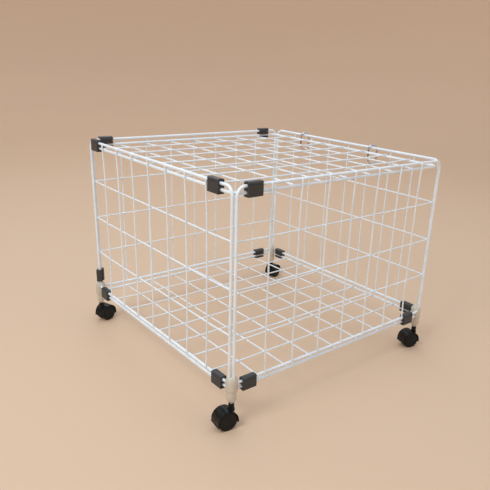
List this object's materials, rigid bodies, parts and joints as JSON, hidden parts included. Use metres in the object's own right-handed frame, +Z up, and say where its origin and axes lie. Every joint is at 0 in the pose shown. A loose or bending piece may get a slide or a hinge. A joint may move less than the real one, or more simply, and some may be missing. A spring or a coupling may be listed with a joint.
{
  "type": "rabbit hutch",
  "caption": "Low square pet cage of white coated wire panels clipped together, with a fold-down wire door held by snap hooks, on swivel twin-wheel casters.",
  "frame": {"origin": "on the floor, under the middle of the whole object's footprint", "axes": "+X along the lower edge of the right front side, away from the front corner; +Y along the lower edge of the left front side, away from the front corner; +Z up. The door side faces +X."},
  "size_m": [0.5929, 0.5686, 0.4399],
  "materials": {
    "white_coated_wire": "white coated welded steel wire, satin gloss",
    "charcoal_plastic": "moulded charcoal plastic, slightly glossy",
    "beige_plastic": "moulded beige plastic, matte",
    "black_nylon": "black nylon, glossy",
    "zinc_plated_steel": "bright zinc plating"
  },
  "bodies": {
    "cage": {"right_front_panel": "white_coated_wire", "left_front_panel": "white_coated_wire", "back_left_panel": "white_coated_wire", "bottom_panel": "white_coated_wire", "top_panel": "white_coated_wire", "clip_top_left_side_front": "charcoal_plastic", "clip_top_left_side_left": "charcoal_plastic", "clip_top_back_left": "charcoal_plastic", "clip_top_back_far": "charcoal_plastic", "clip_top_right_side_front": "charcoal_plastic", "clip_bottom_left_side_front": "charcoal_plastic", "clip_bottom_left_side_left": "charcoal_plastic", "clip_bottom_right_side_front": "charcoal_plastic", "clip_bottom_right_side_right": "charcoal_plastic", "clip_bottom_back_far": "charcoal_plastic", "clip_door_right": "charcoal_plastic", "clip_door_back": "charcoal_plastic", "clip_left_corner_post": "charcoal_plastic", "bracket_front": "beige_plastic", "stem_front": "zinc_plated_steel", "bracket_right": "beige_plastic", "stem_right": "zinc_plated_steel", "bracket_left": "beige_plastic", "stem_left": "zinc_plated_steel", "bracket_back": "beige_plastic", "stem_back": "zinc_plated_steel"},
    "door": {"door_panel": "white_coated_wire"},
    "hook_near": {"snap_hook_near": "zinc_plated_steel", "snap_rivet_near": "zinc_plated_steel"},
    "gate_near": {"snap_gate_near": "zinc_plated_steel"},
    "hook_far": {"snap_hook_far": "zinc_plated_steel", "snap_rivet_far": "zinc_plated_steel"},
    "gate_far": {"snap_gate_far": "zinc_plated_steel"},
    "caster_front": {"caster_hood_front": "black_nylon", "axle_front": "zinc_plated_steel"},
    "wheel_front_a": {"wheel_front_a": "black_nylon"},
    "wheel_front_b": {"wheel_front_b": "black_nylon"},
    "caster_right": {"caster_hood_right": "black_nylon", "axle_right": "zinc_plated_steel"},
    "wheel_right_a": {"wheel_right_a": "black_nylon"},
    "wheel_right_b": {"wheel_right_b": "black_nylon"},
    "caster_left": {"caster_hood_left": "black_nylon", "axle_left": "zinc_plated_steel"},
    "wheel_left_a": {"wheel_left_a": "black_nylon"},
    "wheel_left_b": {"wheel_left_b": "black_nylon"},
    "caster_back": {"caster_hood_back": "black_nylon", "axle_back": "zinc_plated_steel"},
    "wheel_back_a": {"wheel_back_a": "black_nylon"},
    "wheel_back_b": {"wheel_back_b": "black_nylon"}
  },
  "joints": [
    {"name": "door_hinge", "type": "hinge", "parent": "cage", "child": "door", "pos_m": [0.26705, 0, 0.0875], "axis": [0, 1, 0], "range_deg": [0, 100]},
    {"name": "hook_near_swing", "type": "hinge", "parent": "door", "child": "hook_near", "pos_m": [0.26705, -0.08629, 0.432], "axis": [0, 1, 0], "range_deg": [-90, 0]},
    {"name": "gate_near_opens", "type": "hinge", "parent": "hook_near", "child": "gate_near", "pos_m": [0.2597, -0.08012, 0.4074], "axis": [0.6428, 0.766, 0], "range_deg": [0, 20], "stiffness_Nm_per_rad": 0.02, "springref_deg": -5.73},
    {"name": "hook_far_swing", "type": "hinge", "parent": "door", "child": "hook_far", "pos_m": [0.26705, 0.14571, 0.432], "axis": [0, 1, 0], "range_deg": [-90, 0]},
    {"name": "gate_far_opens", "type": "hinge", "parent": "hook_far", "child": "gate_far", "pos_m": [0.2597, 0.15188, 0.4074], "axis": [0.6428, 0.766, 0], "range_deg": [0, 20], "stiffness_Nm_per_rad": 0.02, "springref_deg": -5.73},
    {"name": "caster_front_swivel", "type": "hinge", "parent": "cage", "child": "caster_front", "pos_m": [-0.26155, -0.26879, 0.048], "axis": [0, 0, 1], "continuous": true},
    {"name": "wheel_front_a_roll", "type": "hinge", "parent": "caster_front", "child": "wheel_front_a", "pos_m": [-0.27343, -0.26712, 0.0182], "axis": [0.1392, 0.9903, 0], "continuous": true},
    {"name": "wheel_front_b_roll", "type": "hinge", "parent": "caster_front", "child": "wheel_front_b", "pos_m": [-0.27343, -0.26712, 0.0182], "axis": [0.1392, 0.9903, 0], "continuous": true},
    {"name": "caster_right_swivel", "type": "hinge", "parent": "cage", "child": "caster_right", "pos_m": [0.26155, -0.26879, 0.048], "axis": [0, 0, 1], "continuous": true},
    {"name": "wheel_right_a_roll", "type": "hinge", "parent": "caster_right", "child": "wheel_right_a", "pos_m": [0.25027, -0.26469, 0.0182], "axis": [0.342, 0.9397, 0], "continuous": true},
    {"name": "wheel_right_b_roll", "type": "hinge", "parent": "caster_right", "child": "wheel_right_b", "pos_m": [0.25027, -0.26469, 0.0182], "axis": [0.342, 0.9397, 0], "continuous": true},
    {"name": "caster_left_swivel", "type": "hinge", "parent": "cage", "child": "caster_left", "pos_m": [-0.26655, 0.25931, 0.048], "axis": [0, 0, 1], "continuous": true},
    {"name": "wheel_left_a_roll", "type": "hinge", "parent": "caster_left", "child": "wheel_left_a", "pos_m": [-0.2552, 0.26322, 0.0182], "axis": [0.3256, -0.9455, 0], "continuous": true},
    {"name": "wheel_left_b_roll", "type": "hinge", "parent": "caster_left", "child": "wheel_left_b", "pos_m": [-0.2552, 0.26322, 0.0182], "axis": [0.3256, -0.9455, 0], "continuous": true},
    {"name": "caster_back_swivel", "type": "hinge", "parent": "cage", "child": "caster_back", "pos_m": [0.26155, 0.25431, 0.048], "axis": [0, 0, 1], "continuous": true},
    {"name": "wheel_back_a_roll", "type": "hinge", "parent": "caster_back", "child": "wheel_back_a", "pos_m": [0.27314, 0.25742, 0.0182], "axis": [0.2588, -0.9659, 0], "continuous": true},
    {"name": "wheel_back_b_roll", "type": "hinge", "parent": "caster_back", "child": "wheel_back_b", "pos_m": [0.27314, 0.25742, 0.0182], "axis": [0.2588, -0.9659, 0], "continuous": true}
  ]
}
